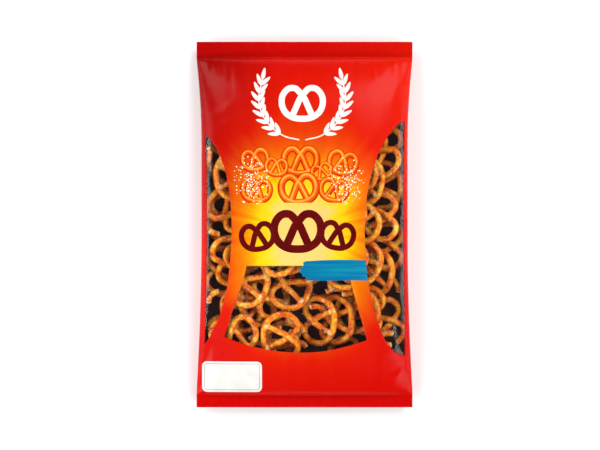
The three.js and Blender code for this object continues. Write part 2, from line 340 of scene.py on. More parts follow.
def brushed_teal():
    """Teal ink laid on in strokes along X."""
    finish = Finish("brushed_teal")
    strokes = finish.noise(1.0, detail=4, place=finish.stretched((14, 420, 1)))
    sweep = finish.span(finish.axis("X"), 0, 55 * MM)
    base = finish.mix(sweep, ink(6, 118, 148), ink(20, 138, 164))
    return printed(finish, finish.mix(finish.span(strokes, 0.35, 0.7), base, ink(2, 96, 146)))


def painted_shade_lining():
    """The inside of the printed film: dark as painted shade, so the gaps between the pretzels read as
    shadow, with a faint sheen.
    """
    finish = Finish("painted_shade_lining")
    # Painted shade: a dark red-brown sheet where the deep bag would be in shadow.
    colour = finish.mix(finish.noise(50, detail=3), (0.05, 0.009, 0.004), (0.1, 0.024, 0.012))
    return finish.surface(Base_Color=colour, Roughness=0.5, Normal=film_bump(finish),
                          Specular_IOR_Level=0.08)


def clear_film():
    """Unprinted film: seen through, with soft reflections on its waves."""
    finish = Finish("clear_film")
    normal = film_bump(finish, slackness=2.6)
    through = finish.node("BsdfTransparent", {"Color": (0.985, 0.985, 0.99)}).outputs["BSDF"]
    shine = finish.node("BsdfGlossy", {"Color": (1.0, 1.0, 1.0), "Roughness": 0.09, "Normal": normal})
    slant = finish.node("LayerWeight", {"Blend": 0.5, "Normal": normal}).outputs["Facing"]
    edge = finish.math("MULTIPLY", finish.math("POWER", slant, 3.0), 0.5)
    haze = finish.span(finish.noise(45, detail=4), 0.3, 0.8, 0.007, 0.015)
    share = finish.math("ADD", edge, haze, clamp=True)
    mixed = finish.node("MixShader", {0: share, 1: through, 2: shine.outputs["BSDF"]})
    return finish.end(mixed.outputs["Shader"])


def baked_crust():
    """Lye-baked crust: golden to dark brown, freckled, shiny on top; painted shade on the flanks and
    painted highlight specks; cream crumb where it is broken.
    """
    finish = Finish("baked_crust")
    patches = finish.noise(150, detail=5, roughness=0.68)
    colour = finish.ramp(patches, [
        (0.3, ink(150, 42, 0)), (0.4, ink(218, 86, 0)), (0.5, ink(250, 132, 4)), (0.6, ink(255, 180, 36)),
        (0.7, ink(255, 226, 114))])
    # Painted shade: the flanks, turned away from world up, are darkened to brown-red.
    flank_shade = finish.span(finish.attribute("upwards"), -0.1, 0.95, 0.92, 0.0)
    flank_shaded = finish.mix(flank_shade, colour, ink(134, 26, 0))
    freckles = finish.node("TexVoronoi", {"Vector": finish.place, "Scale": 560.0}, feature="F1")
    dots = finish.span(freckles.outputs["Distance"], 0.16, 0.42, 0.8, 0.0)
    few = finish.math("GREATER_THAN", finish.noise(240, detail=2), 0.52)
    freckled = finish.mix(finish.math("MULTIPLY", dots, few), flank_shaded, ink(110, 34, 4))
    # Painted highlights: fine pale golden specks standing in for glints on the crust.
    highlight_specks = finish.span(finish.noise(900, detail=2), 0.58, 0.7, 0.0, 0.4)
    highlighted = finish.mix(highlight_specks, freckled, ink(255, 204, 104))
    broken = finish.span(finish.attribute("crumb"), 0.35, 0.6)
    crumb = finish.mix(finish.noise(1100, detail=3), ink(250, 226, 172), ink(222, 178, 112))
    shown = finish.mix(broken, highlighted, crumb)
    roughness = finish.span(broken, 0, 1, finish.span(patches, 0.3, 0.7, 0.26, 0.42), 0.85)
    pores = finish.bump(finish.noise(2600, detail=3), 0.45, 0.08 * MM)
    blisters = finish.bump(finish.noise(520, detail=3), 0.8, 0.35 * MM, under=pores)
    return finish.surface(Base_Color=shown, Roughness=roughness, Normal=blisters, Specular_IOR_Level=0.25)


def salt_crystal():
    finish = Finish("salt_crystal")
    cloudy = finish.mix(finish.noise(1500, detail=2), (0.96, 0.95, 0.92), (0.82, 0.78, 0.7))
    rough = finish.span(finish.noise(2500, detail=2), 0.3, 0.7, 0.25, 0.5)
    grain = finish.bump(finish.noise(4200, detail=2), 0.3, 0.05 * MM)
    return finish.surface(Base_Color=cloudy, Roughness=rough, Normal=grain, Subsurface_Weight=0.2,
                          Subsurface_Radius=(0.6 * MM, 0.6 * MM, 0.6 * MM))


# ---------- Pieces ----------

def mesh_from(name, points, faces, materials, indexes=None, smooth=True):
    mesh = bpy.data.meshes.new(name)
    mesh.from_pydata([tuple(p) for p in points], [], [tuple(int(i) for i in f) for f in faces])
    for material in materials:
        mesh.materials.append(material)
    if indexes is not None:
        mesh.polygons.foreach_set("material_index", np.asarray(indexes, np.int32))
    mesh.polygons.foreach_set("use_smooth", np.full(len(mesh.polygons), smooth))
    mesh.update()
    return mesh


def finish_piece(name, mesh, slot, *replaced):
    piece = add_object(name, mesh)
    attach(piece, "root")
    if replaced:
        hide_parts(*replaced)
    return piece


def give_wall(piece, lining=0):
    """Film's thickness. lining is how many material slots the inner side's is past the outer side's."""
    wall = piece.modifiers.new("wall", "SOLIDIFY")
    wall.thickness = WALL
    wall.offset = 0
    wall.material_offset = lining


# ---------- The bag's shape ----------

def clamp01(t):
    return np.clip(t, 0, 1)


def smooth01(t):
    t = clamp01(t)
    return t * t * (3 - 2 * t)


def rise(t):
    """0 at a seal to 1 where the bag is full."""
    return (1 - (1 - clamp01(t)) ** 2) ** SHOULDER_POWER


def above_bottom_seal(y):
    return y + HALF_LENGTH - BOTTOM_SEAL


def below_top_seal(y):
    return HALF_LENGTH - TOP_SEAL - y


def fullness(y):
    return rise(above_bottom_seal(y) / BOTTOM_SHOULDER) * rise(below_top_seal(y) / TOP_SHOULDER)


def touchdown(y):
    return rise(np.minimum(above_bottom_seal(y), below_top_seal(y)) / BACK_SHOULDER)


def half_width(y):
    return FLAT_WIDTH / 2 - SIDE_DRAW_IN * fullness(y) ** 2


def fold_height(y):
    return SEAL_HEIGHT + (FOLD_HEIGHT - SEAL_HEIGHT) * fullness(y)


def bulge(x, y, powers):
    """Across the bag, from 1 in the middle to 0 at the side folds."""
    return (1 - clamp01(np.abs(x) / half_width(y)) ** powers[0]) ** powers[1]


def layer_gap(x, y):
    """Half the distance between the middles of two touching layers, closing at the side folds."""
    return 0.55 * WALL * clamp01((half_width(y) - np.abs(x)) / MM)


def noise_at(x, y, across, along, layer):
    """Soft noise from about -0.7 to 0.7 over the bag, with cells of that size in metres."""
    return np.array([noise.noise(Vector((a, b, layer))) for a, b in zip(x / across, y / along)])


def crimp(y):
    """Ribs pressed across the end seals."""
    top = smooth01(-below_top_seal(y) / MM) * smooth01((HALF_LENGTH - y) / MM)
    bottom = smooth01(-above_bottom_seal(y) / MM) * smooth01((y + HALF_LENGTH) / MM)
    return RIB_HEIGHT * (top + bottom) * np.cos(2 * np.pi * y / RIB_PITCH)


def pucker_height(from_seal, height, start, decay):
    """How high the puckers are that begin at a seal and die away from it."""
    return height * smooth01(from_seal / start) * np.exp(-clamp01(from_seal / HALF_LENGTH) * decay)


def slack(x, y):
    """Waves of the front, nearly all outwards, so that the film stays clear of the filling."""
    from_seal = np.minimum(below_top_seal(y), above_bottom_seal(y))
    puckers = clamp01(noise_at(x, y, 6.5 * MM, 45 * MM, 1.5) + 0.05)
    puckers *= (pucker_height(below_top_seal(y), 3.6 * MM, 4 * MM, 15)
                + pucker_height(above_bottom_seal(y), 1.5 * MM, 5 * MM, 11))
    soft = SOFT_WAVE * (0.5 + noise_at(x, y, 45 * MM, 60 * MM, 7.5)) * smooth01(from_seal / (30 * MM))
    slanted = clamp01(noise_at(x + 0.6 * y, y - 0.5 * x, 30 * MM, 13 * MM, 3.5) - 0.05)
    near_side = smooth01((np.abs(x) / half_width(y) - 0.62) / 0.25)
    near_end = 1 - smooth01(from_seal / (75 * MM))
    creases = CREASE_HEIGHT * slanted * near_side * smooth01(from_seal / (8 * MM))
    creases *= 0.25 + 0.75 * near_end
    return smooth01((half_width(y) - np.abs(x)) / (14 * MM)) * (puckers + soft + creases)


def roof_height(x, y):
    """How high the filling may reach."""
    return fold_height(y) + layer_gap(x, y) + DOME_HEIGHT * fullness(y) * bulge(x, y, FRONT_POWERS)


def front_height(x, y):
    from_seal = np.minimum(above_bottom_seal(y), below_top_seal(y))
    clear = CLEARANCE * smooth01(from_seal / (3 * MM)) * smooth01((half_width(y) - np.abs(x)) / (4 * MM))
    return roof_height(x, y) + clear + slack(x, y) + crimp(y)


def over_fin(x):
    return smooth01((x + FIN_STEP / 3) / (FIN_STEP / 3)) - smooth01((x - FIN_WIDTH) / FIN_STEP)


def back_height(x, y):
    drop = BACK_REACH * fold_height(y) * touchdown(y) * bulge(x, y, BACK_POWERS)
    curved = fold_height(y) - layer_gap(x, y) - drop
    return np.maximum(WALL / 2, curved) + 2 * WALL * over_fin(x) * touchdown(y) + crimp(y)


# ---------- Outlines, in millimetres on the front ----------

OUTLINE_STEP = 1.1


def smooth_line(points, step, closed=False):
    """Points a step apart on a smooth curve through the given ones."""
    through = np.array(points, float)
    if closed:
        through = np.vstack([through[-1], through, through[:2]])
    else:
        through = np.vstack([2 * through[0] - through[1], through, 2 * through[-1] - through[-2]])
    fine = []
    for before, start, end, after in zip(through, through[1:], through[2:], through[3:]):
        knots = np.cumsum([0, *(np.linalg.norm(b - a) ** 0.5 for a, b in
                                ((before, start), (start, end), (end, after)))])
        t = np.linspace(knots[1], knots[2], 24, endpoint=False)[:, None]

        def between(a, b, low, high):
            return ((high - t) * a + (t - low) * b) / (high - low)

        first = between(before, start, knots[0], knots[1])
        second = between(start, end, knots[1], knots[2])
        third = between(end, after, knots[2], knots[3])
        left = between(first, second, knots[0], knots[2])
        right = between(second, third, knots[1], knots[3])
        fine.append(between(left, right, knots[1], knots[2]))
    fine = np.vstack([*fine, through[-2][None]])
    return resample(fine, step, closed)


def resample(line, step, closed=False):
    """Evenly spaced points along a line. A closed line doesn't repeat its first point."""
    run = np.concatenate([[0], np.cumsum(np.linalg.norm(np.diff(line, axis=0), axis=1))])
    count = max(3, int(round(run[-1] / step)))
    at = np.linspace(0, run[-1], count + 1)
    if closed:
        at = at[:-1]
    return np.column_stack([np.interp(at, run, line[:, k]) for k in range(line.shape[1])])


def joined(*parts):
    """One closed loop out of lines that follow each other."""
    corners = np.vstack([np.array(part, float) for part in parts])
    keep = np.linalg.norm(corners - np.roll(corners, 1, axis=0), axis=1) > 1e-3
    return resample(np.vstack([corners[keep], corners[keep][:1]]), OUTLINE_STEP, closed=True)


def sides_of(line, width):
    """The two edges of a stroke along a line, as one closed loop with round ends."""
    along = np.gradient(line, axis=0)
    along /= np.linalg.norm(along, axis=1)[:, None]
    left = np.column_stack([-along[:, 1], along[:, 0]]) * width / 2
    turn = np.linspace(0, np.pi, 7)[1:-1, None]
    start = line[0] + np.cos(turn) * -left[0] - np.sin(turn) * along[0] * width / 2
    end = line[-1] + np.cos(turn) * left[-1] + np.sin(turn) * along[-1] * width / 2
    return np.vstack([line + left, end, (line - left)[::-1], start])


def turned(points, degrees):
    c, s = math.cos(math.radians(degrees)), math.sin(math.radians(degrees))
    return np.asarray(points) @ np.array([[c, s], [-s, c]])


# Edges of the clear windows, X across and Y up.
LEFT_WAIST = [(-85, 76.5), (-80.6, 72.5), (-74.6, 63.5), (-68.7, 49.4), (-64.2, 28), (-62.2, 0),
              (-63.1, -25), (-66.6, -56), (-71.7, -75.5), (-78.6, -91.3), (-85.5, -103)]
LEFT_FOLD = [(-84.2, -60), (-83.6, 0), (-83.8, 50)]
RIGHT_WAIST = [(85.5, 88.2), (80, 86), (69.5, 72.6), (61.4, 56.3), (55.4, 36.1), (51.8, 13), (51.3, -12.3),
               (54.1, -48.5), (59.4, -71.3), (66.1, -92.8), (72.5, -104.4), (79.5, -110.4), (86, -112)]
RIGHT_FOLD = [(85.4, -60), (84.6, 0), (84.8, 50)]
BELLY_TOP = -35.2
BELLY_LEFT = [(-49.4, BELLY_TOP), (-52.4, -48), (-57.6, -62.8), (-63.1, -78.6), (-68.4, -96)]
BELLY_BOTTOM = [(-68.4, -96), (-52.1, -102.1), (-35.6, -106.1), (-17.9, -108.7), (0, -109.3),
                (16.3, -108.2), (34.2, -104.5), (53.2, -98.8)]
BELLY_RIGHT = [(53.2, -98.8), (49.2, -84.3), (43.7, -65.1), (39, -47.3), (36, BELLY_TOP)]


def window_outlines():
    left = joined(smooth_line(LEFT_WAIST, OUTLINE_STEP), LEFT_FOLD)
    right = joined(smooth_line(RIGHT_WAIST, OUTLINE_STEP), RIGHT_FOLD)
    lower = joined(*(smooth_line(part, OUTLINE_STEP) for part in (BELLY_LEFT, BELLY_BOTTOM, BELLY_RIGHT)))
    return {"window_left": left, "window_right": right, "window_bottom": lower}


# ---------- Printed artwork ----------

PRETZEL_RIGHT = [(8.8, -14.4, 0), (16.2, -9.2, 0), (19.4, -1, 0), (18.2, 7.4, 0), (12.8, 13.2, 0),
                 (6.6, 13.4, 0.3), (2.1, 9.2, 1.2), (-2, 3.8, 1.2), (-5.4, -3.8, 0.3), (-8.2, -10.2, 0.3),
                 (-9.3, -13, 0.5)]


def rope_points():
    """The middle line of a pretzel's rope in millimetres, from end to end; the left strand passes under."""
    left = [(-x, y, -z if y > 0 else z) for x, y, z in PRETZEL_RIGHT]
    return [*left[::-1], (0, -15.6, 0), *PRETZEL_RIGHT]


def pretzel_drawing(place, scale, turn):
    line = smooth_line([p[:2] for p in rope_points()], 1.4 / scale)
    return turned(line * scale, turn) + np.array(place)


def grain_outline(place, heading, length, width):
    """A pointed grain with its foot at place."""
    t = np.linspace(0, 2 * np.pi, 13)[:-1]
    along = length * (1 - np.cos(t)) / 2
    across = width / 2 * np.sin(t) * (1.15 - 0.55 * along / length)
    return turned(np.column_stack([along, across]), heading) + np.array(place)


def wheat_ear(points, pairs, length, width):
    """The line of a stem through the points, and the outlines of grains in pairs on its upper part."""
    stem = smooth_line(points, 1.0)
    grains = []
    for k in range(pairs):
        at = int(len(stem) * (0.24 + 0.68 * k / (pairs - 1)))
        heading = math.degrees(math.atan2(*(stem[at + 1] - stem[at - 1])[::-1]))
        for side in (-1, 1):
            grains.append(grain_outline(stem[at], heading + side * 34, length, width))
    heading = math.degrees(math.atan2(*(stem[-1] - stem[-3])[::-1]))
    grains.append(grain_outline(stem[-1], heading, length, width))
    return stem, grains


class Artwork:
    """Inks on the front, each an outline that the mesh is cut along. A later one covers an earlier one."""

    def __init__(self):
        self.outlines = []
        self.areas = []

    def area(self, ink_name, outline):
        self.outlines.append(outline)
        self.areas.append((ink_name, outline, None))

    def stroke(self, ink_name, line, width):
        self.outlines.append(sides_of(line, width))
        self.areas.append((ink_name, line, width))

    def inks_at(self, points):
        """The ink's name at each point, and "printed_red" where there is no other."""
        found = np.full(len(points), "printed_red", dtype=object)
        for name, shape, width in self.areas:
            margin = width or 0
            near = np.all((points > shape.min(0) - margin) & (points < shape.max(0) + margin), axis=1)
            at = np.flatnonzero(near)
            if len(at):
                hit = inside(points[at], shape) if width is None else close_to(points[at], shape, width / 2)
                found[at[hit]] = name
        return found


def inside(points, outline):
    """Which points are inside a closed outline."""
    x, y = points[:, :1], points[:, 1:]
    ax, ay = outline.T
    bx, by = np.roll(outline, -1, axis=0).T
    straddles = (ay > y) != (by > y)
    rise_of = np.where(by == ay, 1e-12, by - ay)
    crossing = x < (bx - ax) * (y - ay) / rise_of + ax
    return (straddles & crossing).sum(1) % 2 == 1


def close_to(points, line, distance):
    """Which points are less than a distance from a line."""
    start, step = line[:-1], np.diff(line, axis=0)
    away = points[:, None] - start
    share = clamp01((away * step).sum(2) / (step * step).sum(1))
    return np.linalg.norm(away - share[..., None] * step, axis=2).min(1) < distance


PICTURE = [  # place, scale and turn of each printed pretzel, back row first
    ((-3.5, 54.5), 0.72, 0), ((-42, 55), 0.55, 10), ((32.5, 52.5), 0.6, -14), ((-24, 49), 0.45, -8),
    ((14.5, 45), 0.42, 20), ((-41, 29), 0.6, -6), ((25, 29.5), 0.58, -12), ((-5, 30.5), 0.76, 4)]
PICTURE_FOOT = 18.5  # the picture is cut off level there
EMBLEM_X = -2
TITLE = (((-40, -10), 0.7, 10), ((28, -9), 0.7, -10), ((-6, -5), 1.02, 0))  # the three dark pretzels


def front_artwork():
    art = Artwork()
    for place, scale, turn in PICTURE:
        line = pretzel_drawing(place, scale, turn)
        art.stroke("picture_edge", line, 8.4 * scale)
        art.stroke("picture_gold", line + (0, 0.7 * scale), 5.8 * scale)
        art.stroke("picture_shine", line + (-0.4 * scale, 1.5 * scale), 2.1 * scale)
    art.area("printed_red", rounded_box(-62, 47, 8, PICTURE_FOOT, 0.5))
    for place, scale, turn in TITLE:
        art.stroke("maroon", pretzel_drawing(place, scale, turn), 6.6 * scale)
    for side in (-1, 1):
        curve = [(EMBLEM_X + side * x, y) for x, y in ((3, 72), (17, 76), (32, 90), (37, 107), (34, 124))]
        stem, grains = wheat_ear(curve, 8, 10.5, 3.9)
        art.stroke("white", stem, 1.1)
        for grain in grains:
            art.area("white", grain)
    art.stroke("white", pretzel_drawing((EMBLEM_X, 104), 0.9, 0), 5.2)
    windows = window_outlines()
    art.area("window_bottom", windows["window_bottom"])
    art.area("teal", brush_outline())
    art.area("window_left", windows["window_left"])
    art.area("window_right", windows["window_right"])
    art.area("white", rounded_box(-88.0, -36.5, -143.9, -117.3, 4.2))
    art.area("label_line", rounded_box(-86.3, -38.2, -142.2, -119.0, 2.9))
    art.area("white", rounded_box(-85.7, -38.8, -141.6, -119.6, 2.4))
    return art


def brush_outline():
    """A brush stroke with a ragged left end."""
    ragged = [(2.4, -47.4), (1.2, -46.4), (2.0, -45.6), (-2.6, -43.6), (-1.4, -42.6), (-5.2, -40.2),
              (-3.4, -38.8), (-5.0, -37.6), (-1.8, -36.2), (-0.8, -33.6), (-1.6, -32.6), (0.6, -31.2)]
    top = smooth_line([(0.6, -31.2), (16, -30.3), (34, -29.9), (56, -30.6)], OUTLINE_STEP)
    bottom = smooth_line([(56, -47.9), (36, -47.5), (18, -47.9), (2.4, -47.4)], OUTLINE_STEP)
    return joined(ragged, top, bottom)


def rounded_box(left, right, bottom, top, radius):
    quarter = np.radians(np.arange(0, 91, 15))
    loop = []
    for x, y, start in ((right - radius, top - radius, 0), (left + radius, top - radius, 90),
                        (left + radius, bottom + radius, 180), (right - radius, bottom + radius, 270)):
        angle = quarter + math.radians(start)
        loop.append(np.column_stack([x + radius * np.cos(angle), y + radius * np.sin(angle)]))
    return joined(*loop)


# ---------- Film ----------

FRONT_COLUMNS = 127
BACK_COLUMNS = 81
FIN_COLUMNS = 8
BODY_STEP = 1.9 * MM
SEAL_STEP = 0.375 * MM  # a quarter of the ribs' pitch


def film_rows():
    bottom = -HALF_LENGTH
    stations = [(bottom, bottom + BOTTOM_SEAL, SEAL_STEP),
                (bottom + BOTTOM_SEAL, HALF_LENGTH - TOP_SEAL, BODY_STEP),
                (HALF_LENGTH - TOP_SEAL, HALF_LENGTH, SEAL_STEP)]
    rows = [np.linspace(low, high, round((high - low) / step) + 1)[:-1] for low, high, step in stations]
    return np.concatenate([*rows, [HALF_LENGTH]])


def film_shares(count):
    """Shares of the half width, closer together towards the side folds."""
    even = np.linspace(-1, 1, count)
    return 0.2 * even + 0.8 * np.sin(even * np.pi / 2)


def cut_front(art):
    """The front's points, its triangles, which follow every outline, and each triangle's ink."""
    half = FLAT_WIDTH / 2 / MM
    shares, rows = np.meshgrid(film_shares(FRONT_COLUMNS), film_rows() / MM)
    grid = np.column_stack([shares.ravel() * half, rows.ravel()])
    loops = []
    for outline in art.outlines:
        spread = half / (half_width(outline[:, 1] * MM) / MM)
        loops.append(np.column_stack([outline[:, 0] * spread, outline[:, 1]]))
    drawn = np.vstack(loops)
    tree = kdtree.KDTree(len(drawn))
    for i, (x, y) in enumerate(drawn):
        tree.insert((x, y, 0), i)
    tree.balance()
    kept = [p for p in grid if tree.find((p[0], p[1], 0))[2] > 0.45 or abs(abs(p[0]) - half) < 1e-6]
    points = [Vector(p) for p in [*kept, *drawn]]
    edges = []
    first = len(kept)
    for loop in loops:
        count = len(loop)
        edges += [(first + i, first + (i + 1) % count) for i in range(count)]
        first += count
    corners, _, faces, *_ = delaunay_2d_cdt(points, edges, [], 0, 1e-5)
    flat = np.array([tuple(c) for c in corners])
    triangles = np.array([f for f in faces if len(f) == 3])
    a, b, c = (flat[triangles[:, k]] for k in range(3))
    area = (b[:, 0] - a[:, 0]) * (c[:, 1] - a[:, 1]) - (b[:, 1] - a[:, 1]) * (c[:, 0] - a[:, 0])
    triangles = np.where(area[:, None] < 0, triangles[:, ::-1], triangles)[np.abs(area) > 1e-7]
    flat[:, 0] *= half_width(flat[:, 1] * MM) / MM / half
    inks = art.inks_at(flat[triangles].mean(axis=1))
    return flat * MM, triangles, inks


def part_of(points, triangles, chosen):
    """The chosen triangles with only the points that they use."""
    used, renumbered = np.unique(triangles[chosen], return_inverse=True)
    return points[used], renumbered.reshape(-1, 3)


def make_inks():
    return {
        "printed_red": printed_red(),
        "picture_edge": printed_ink("picture_edge", (196, 28, 2), (168, 16, 2), specks=True),
        "picture_gold": printed_ink("picture_gold", (226, 96, 12), (204, 60, 6), specks=True),
        "picture_shine": printed_ink("picture_shine", (236, 164, 60), (232, 128, 26), specks=True),
        "maroon": printed_ink("maroon_ink", (96, 8, 8), (78, 4, 8)),
        "white": printed_ink("white_ink", (226, 222, 218), (214, 209, 203)),
        "label_line": printed_ink("label_line_ink", (172, 164, 154), (158, 150, 140)),
        "teal": brushed_teal(),
    }


def make_film():
    inks = make_inks()
    # The lining is painted shade: dark on the inside of the film.
    lining = painted_shade_lining()
    clear = clear_film()
    flat, triangles, names = cut_front(front_artwork())
    points = np.column_stack([flat, front_height(flat[:, 0], flat[:, 1])])
    ink_names = list(inks)
    is_printed = np.isin(names, ink_names)
    indexes = [ink_names.index(name) for name in names[is_printed]]
    materials = [*inks.values(), lining]
    sheet = mesh_from("film_front", *part_of(points, triangles, is_printed), materials, indexes)
    front = finish_piece("film_front", sheet, "printed_film", "bag_film")
    give_wall(front, lining=len(ink_names))
    for name in ("window_left", "window_right", "window_bottom"):
        pane = mesh_from(name, *part_of(points, triangles, names == name), [clear])
        window = finish_piece(name, pane, "clear_film")
        give_wall(window)
        window.modifiers["wall"].use_rim = False
    make_back(inks["printed_red"], lining)


def grid_faces(rows, columns):
    """Quads of a grid of points stored row by row, facing +Z."""
    first = (np.arange(rows - 1)[:, None] * columns + np.arange(columns - 1)).ravel()
    return np.column_stack([first, first + 1, first + columns + 1, first + columns])


def make_back(red, lining):
    """The back, and the flap of its fin seal, which lies flat under it."""
    rows = film_rows()
    y = np.repeat(rows, BACK_COLUMNS)
    x = np.tile(film_shares(BACK_COLUMNS), len(rows)) * half_width(y)
    faces = grid_faces(len(rows), BACK_COLUMNS)[:, ::-1]
    points = np.column_stack([x, y, back_height(x, y)])
    back = finish_piece("film_back", mesh_from("film_back", points, faces, [red, lining]), "printed_film")
    give_wall(back, lining=1)
    y = np.repeat(rows, FIN_COLUMNS)
    x = np.tile(np.linspace(0.2 * MM, FIN_WIDTH, FIN_COLUMNS), len(rows))
    faces = grid_faces(len(rows), FIN_COLUMNS)[:, ::-1]
    points = np.column_stack([x, y, back_height(x, y) - 1.55 * WALL])
    fin = finish_piece("back_fin", mesh_from("back_fin", points, faces, [red]), "printed_film")
    give_wall(fin)
    fin.modifiers["wall"].thickness = 1.8 * WALL


# ---------- Pretzels ----------

ROPE_RADIUS = 2.8 * MM
ROPE_STRAY = 0.16  # millimetres off the pretzel's shape
PRETZEL_REACH = 18.4 * MM  # from a pretzel's origin to the outside of its belly
REMESH_STEP = 0.75 * MM
RING_SIDES = 14
BREAK_CHANCE = 0.24
TURNED_CHANCE = 0.3  # of lying with its other side up
SEAL_MARGIN = 1.5 * MM  # between the filling and the end seals
FOLD_MARGIN = 1 * MM  # between the filling and the side folds
SALT_MARGIN = 5 * MM  # no grains where the film closes in on the filling
LUMP_SIZE = 5 * MM
CRUST_GRAIN = 1.7 * MM  # size of the finer lumps
END_TAPER = (0.72, 0.93)  # shares of the radius at the last rings of a run
CRUMB_REACH = 3.4 * MM  # from a rope's end
FLAT_UNDER = -2.2 * MM  # below this a pretzel is flattened, as it lay in the oven


def pose_of(node):
    """Origin and axes (across, along, up) that lay a pretzel in its CAD solid, from the solid's corners.

    Along runs from the solid's lobes to its belly, so the shown pretzel lies end for end in the outline.
    """
    corners = np.array([vertex.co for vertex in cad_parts[node].data.vertices], float)
    corners = np.unique(corners.round(6), axis=0)
    offsets = corners - corners.mean(axis=0)
    _, axes = np.linalg.eigh(offsets.T @ offsets)
    up, along = axes[:, 0], axes[:, 1]
    along = along * np.sign(((offsets @ along) ** 3).sum())
    up = up * np.sign(up[2])
    across = np.cross(along, up)
    reach = [offsets @ axis for axis in (across, along, up)]
    local = [(r.min() + r.max()) / 2 for r in reach]
    local[1] = reach[1].min() + PRETZEL_REACH
    origin = corners.mean(axis=0) + sum(share * axis for share, axis in zip(local, (across, along, up)))
    return origin, np.array([across, along, up])


def tube(line, radii):
    """A closed skin round a line, with a pole at each end."""
    along = np.gradient(line, axis=0)
    along /= np.linalg.norm(along, axis=1)[:, None]
    side = np.cross(along[0], (0.0, 0.0, 1.0))
    rings = []
    angles = np.linspace(0, 2 * np.pi, RING_SIDES, endpoint=False)
    for point, heading, radius in zip(line, along, radii):
        side = side - heading * (side @ heading)
        side /= np.linalg.norm(side)
        other = np.cross(heading, side)
        rings.append(point + radius * (np.cos(angles)[:, None] * side + np.sin(angles)[:, None] * other))
    points = np.vstack([*rings, line[0], line[-1]])
    faces = []
    for ring in range(len(line) - 1):
        for k in range(RING_SIDES):
            a, b = ring * RING_SIDES + k, ring * RING_SIDES + (k + 1) % RING_SIDES
            faces.append((a, b, b + RING_SIDES, a + RING_SIDES))
    last = (len(line) - 1) * RING_SIDES
    for k in range(RING_SIDES):
        after = (k + 1) % RING_SIDES
        faces.append((after, k, len(points) - 2))
        faces.append((last + k, last + after, len(points) - 1))
    return points, faces


def rope_pieces(random):
    """Runs of rope of one pretzel, as tubes, and the places of their ends. Most pretzels are one run."""
    points = np.array(rope_points())
    points = points + random.normal(0, ROPE_STRAY, points.shape) * (1, 1, 0.3)
    line = smooth_line(points, 1.0) * MM
    share = np.linspace(0, 1, len(line))
    layer = random.uniform(0, 50)
    wobble = np.array([noise.noise(Vector((s * 16, layer, 0.5))) for s in share])
    radii = ROPE_RADIUS * (1 + 0.07 * wobble + 0.05 * np.exp(-((share - 0.5) / 0.16) ** 2))
    radii *= 1 - 0.14 * np.exp(-(np.minimum(share, 1 - share) / 0.06) ** 2)
    runs = [(0, len(line))]
    if random.random() < BREAK_CHANCE:
        gap = int(random.uniform(4, 9))
        start = int(random.choice([random.uniform(0.22, 0.34), random.uniform(0.64, 0.76)]) * len(line))
        runs = [(0, start), (start + gap, len(line))]
    tubes, ends = [], []
    for low, high in runs:
        run, wide = line[low:high], radii[low:high].copy()
        for k, part in enumerate(END_TAPER):
            wide[k] *= part
            wide[-1 - k] *= part
        tubes.append(tube(run, wide))
        ends += [run[0], run[-1]]
    return tubes, np.array(ends)


def fused(tubes):
    """One skin over tubes that pass through each other."""
    points = np.vstack([t[0] for t in tubes])
    faces, first = [], 0
    for shape, ring_faces in tubes:
        faces += [tuple(first + i for i in face) for face in ring_faces]
        first += len(shape)
    rough = add_object("rough", mesh_from("rough", points, faces, []))
    remesh = rough.modifiers.new("fuse", "REMESH")
    remesh.mode = "VOXEL"
    remesh.voxel_size = REMESH_STEP
    evaluated = rough.evaluated_get(bpy.context.evaluated_depsgraph_get())
    mesh = bpy.data.meshes.new_from_object(evaluated)
    bpy.data.objects.remove(rough)
    return mesh


def coordinates(mesh, kind="vertices", field="co"):
    found = np.zeros(len(getattr(mesh, kind)) * 3)
    getattr(mesh, kind).foreach_get(field, found)
    return found.reshape(-1, 3)


def store(mesh, name, values):
    mesh.attributes.new(name, "FLOAT", "POINT").data.foreach_set("value", np.asarray(values, np.float32))


def held_in_bag(points):
    """The points, pressed in where they would reach through the film."""
    y = np.clip(points[:, 1], BOTTOM_SEAL + SEAL_MARGIN - HALF_LENGTH, HALF_LENGTH - TOP_SEAL - SEAL_MARGIN)
    reach = half_width(y) - FOLD_MARGIN
    x = np.clip(points[:, 0], -reach, reach)
    z = np.clip(points[:, 2], back_height(x, y) + WALL, roof_height(x, y) - WALL)
    return np.column_stack([x, y, z])


def roughened(mesh, ends, random):
    """A skin's points, lumpy as baked dough is, with its normals and how far each point is open crumb."""
    points = coordinates(mesh)
    normals = coordinates(mesh, field="normal")
    layer = random.uniform(0, 90)
    lumps = np.array([noise.noise(Vector(p / LUMP_SIZE) + Vector((layer, 0, 0))) for p in points])
    grainy = np.array([noise.noise(Vector(p / CRUST_GRAIN) + Vector((0, layer, 0))) for p in points])
    to_end = np.linalg.norm(points[:, None] - ends[None], axis=2).min(axis=1)
    crumb = clamp01((CRUMB_REACH - to_end) / (1.4 * MM) + 0.3 * grainy)
    return points + normals * (0.26 * MM * lumps + 0.15 * MM * grainy)[:, None], normals, crumb


def facing_up(normals):
    """1 on top of the dough, where salt lies, to 0 on its flanks."""
    return clamp01((normals[:, 2] - 0.35) / 0.3)


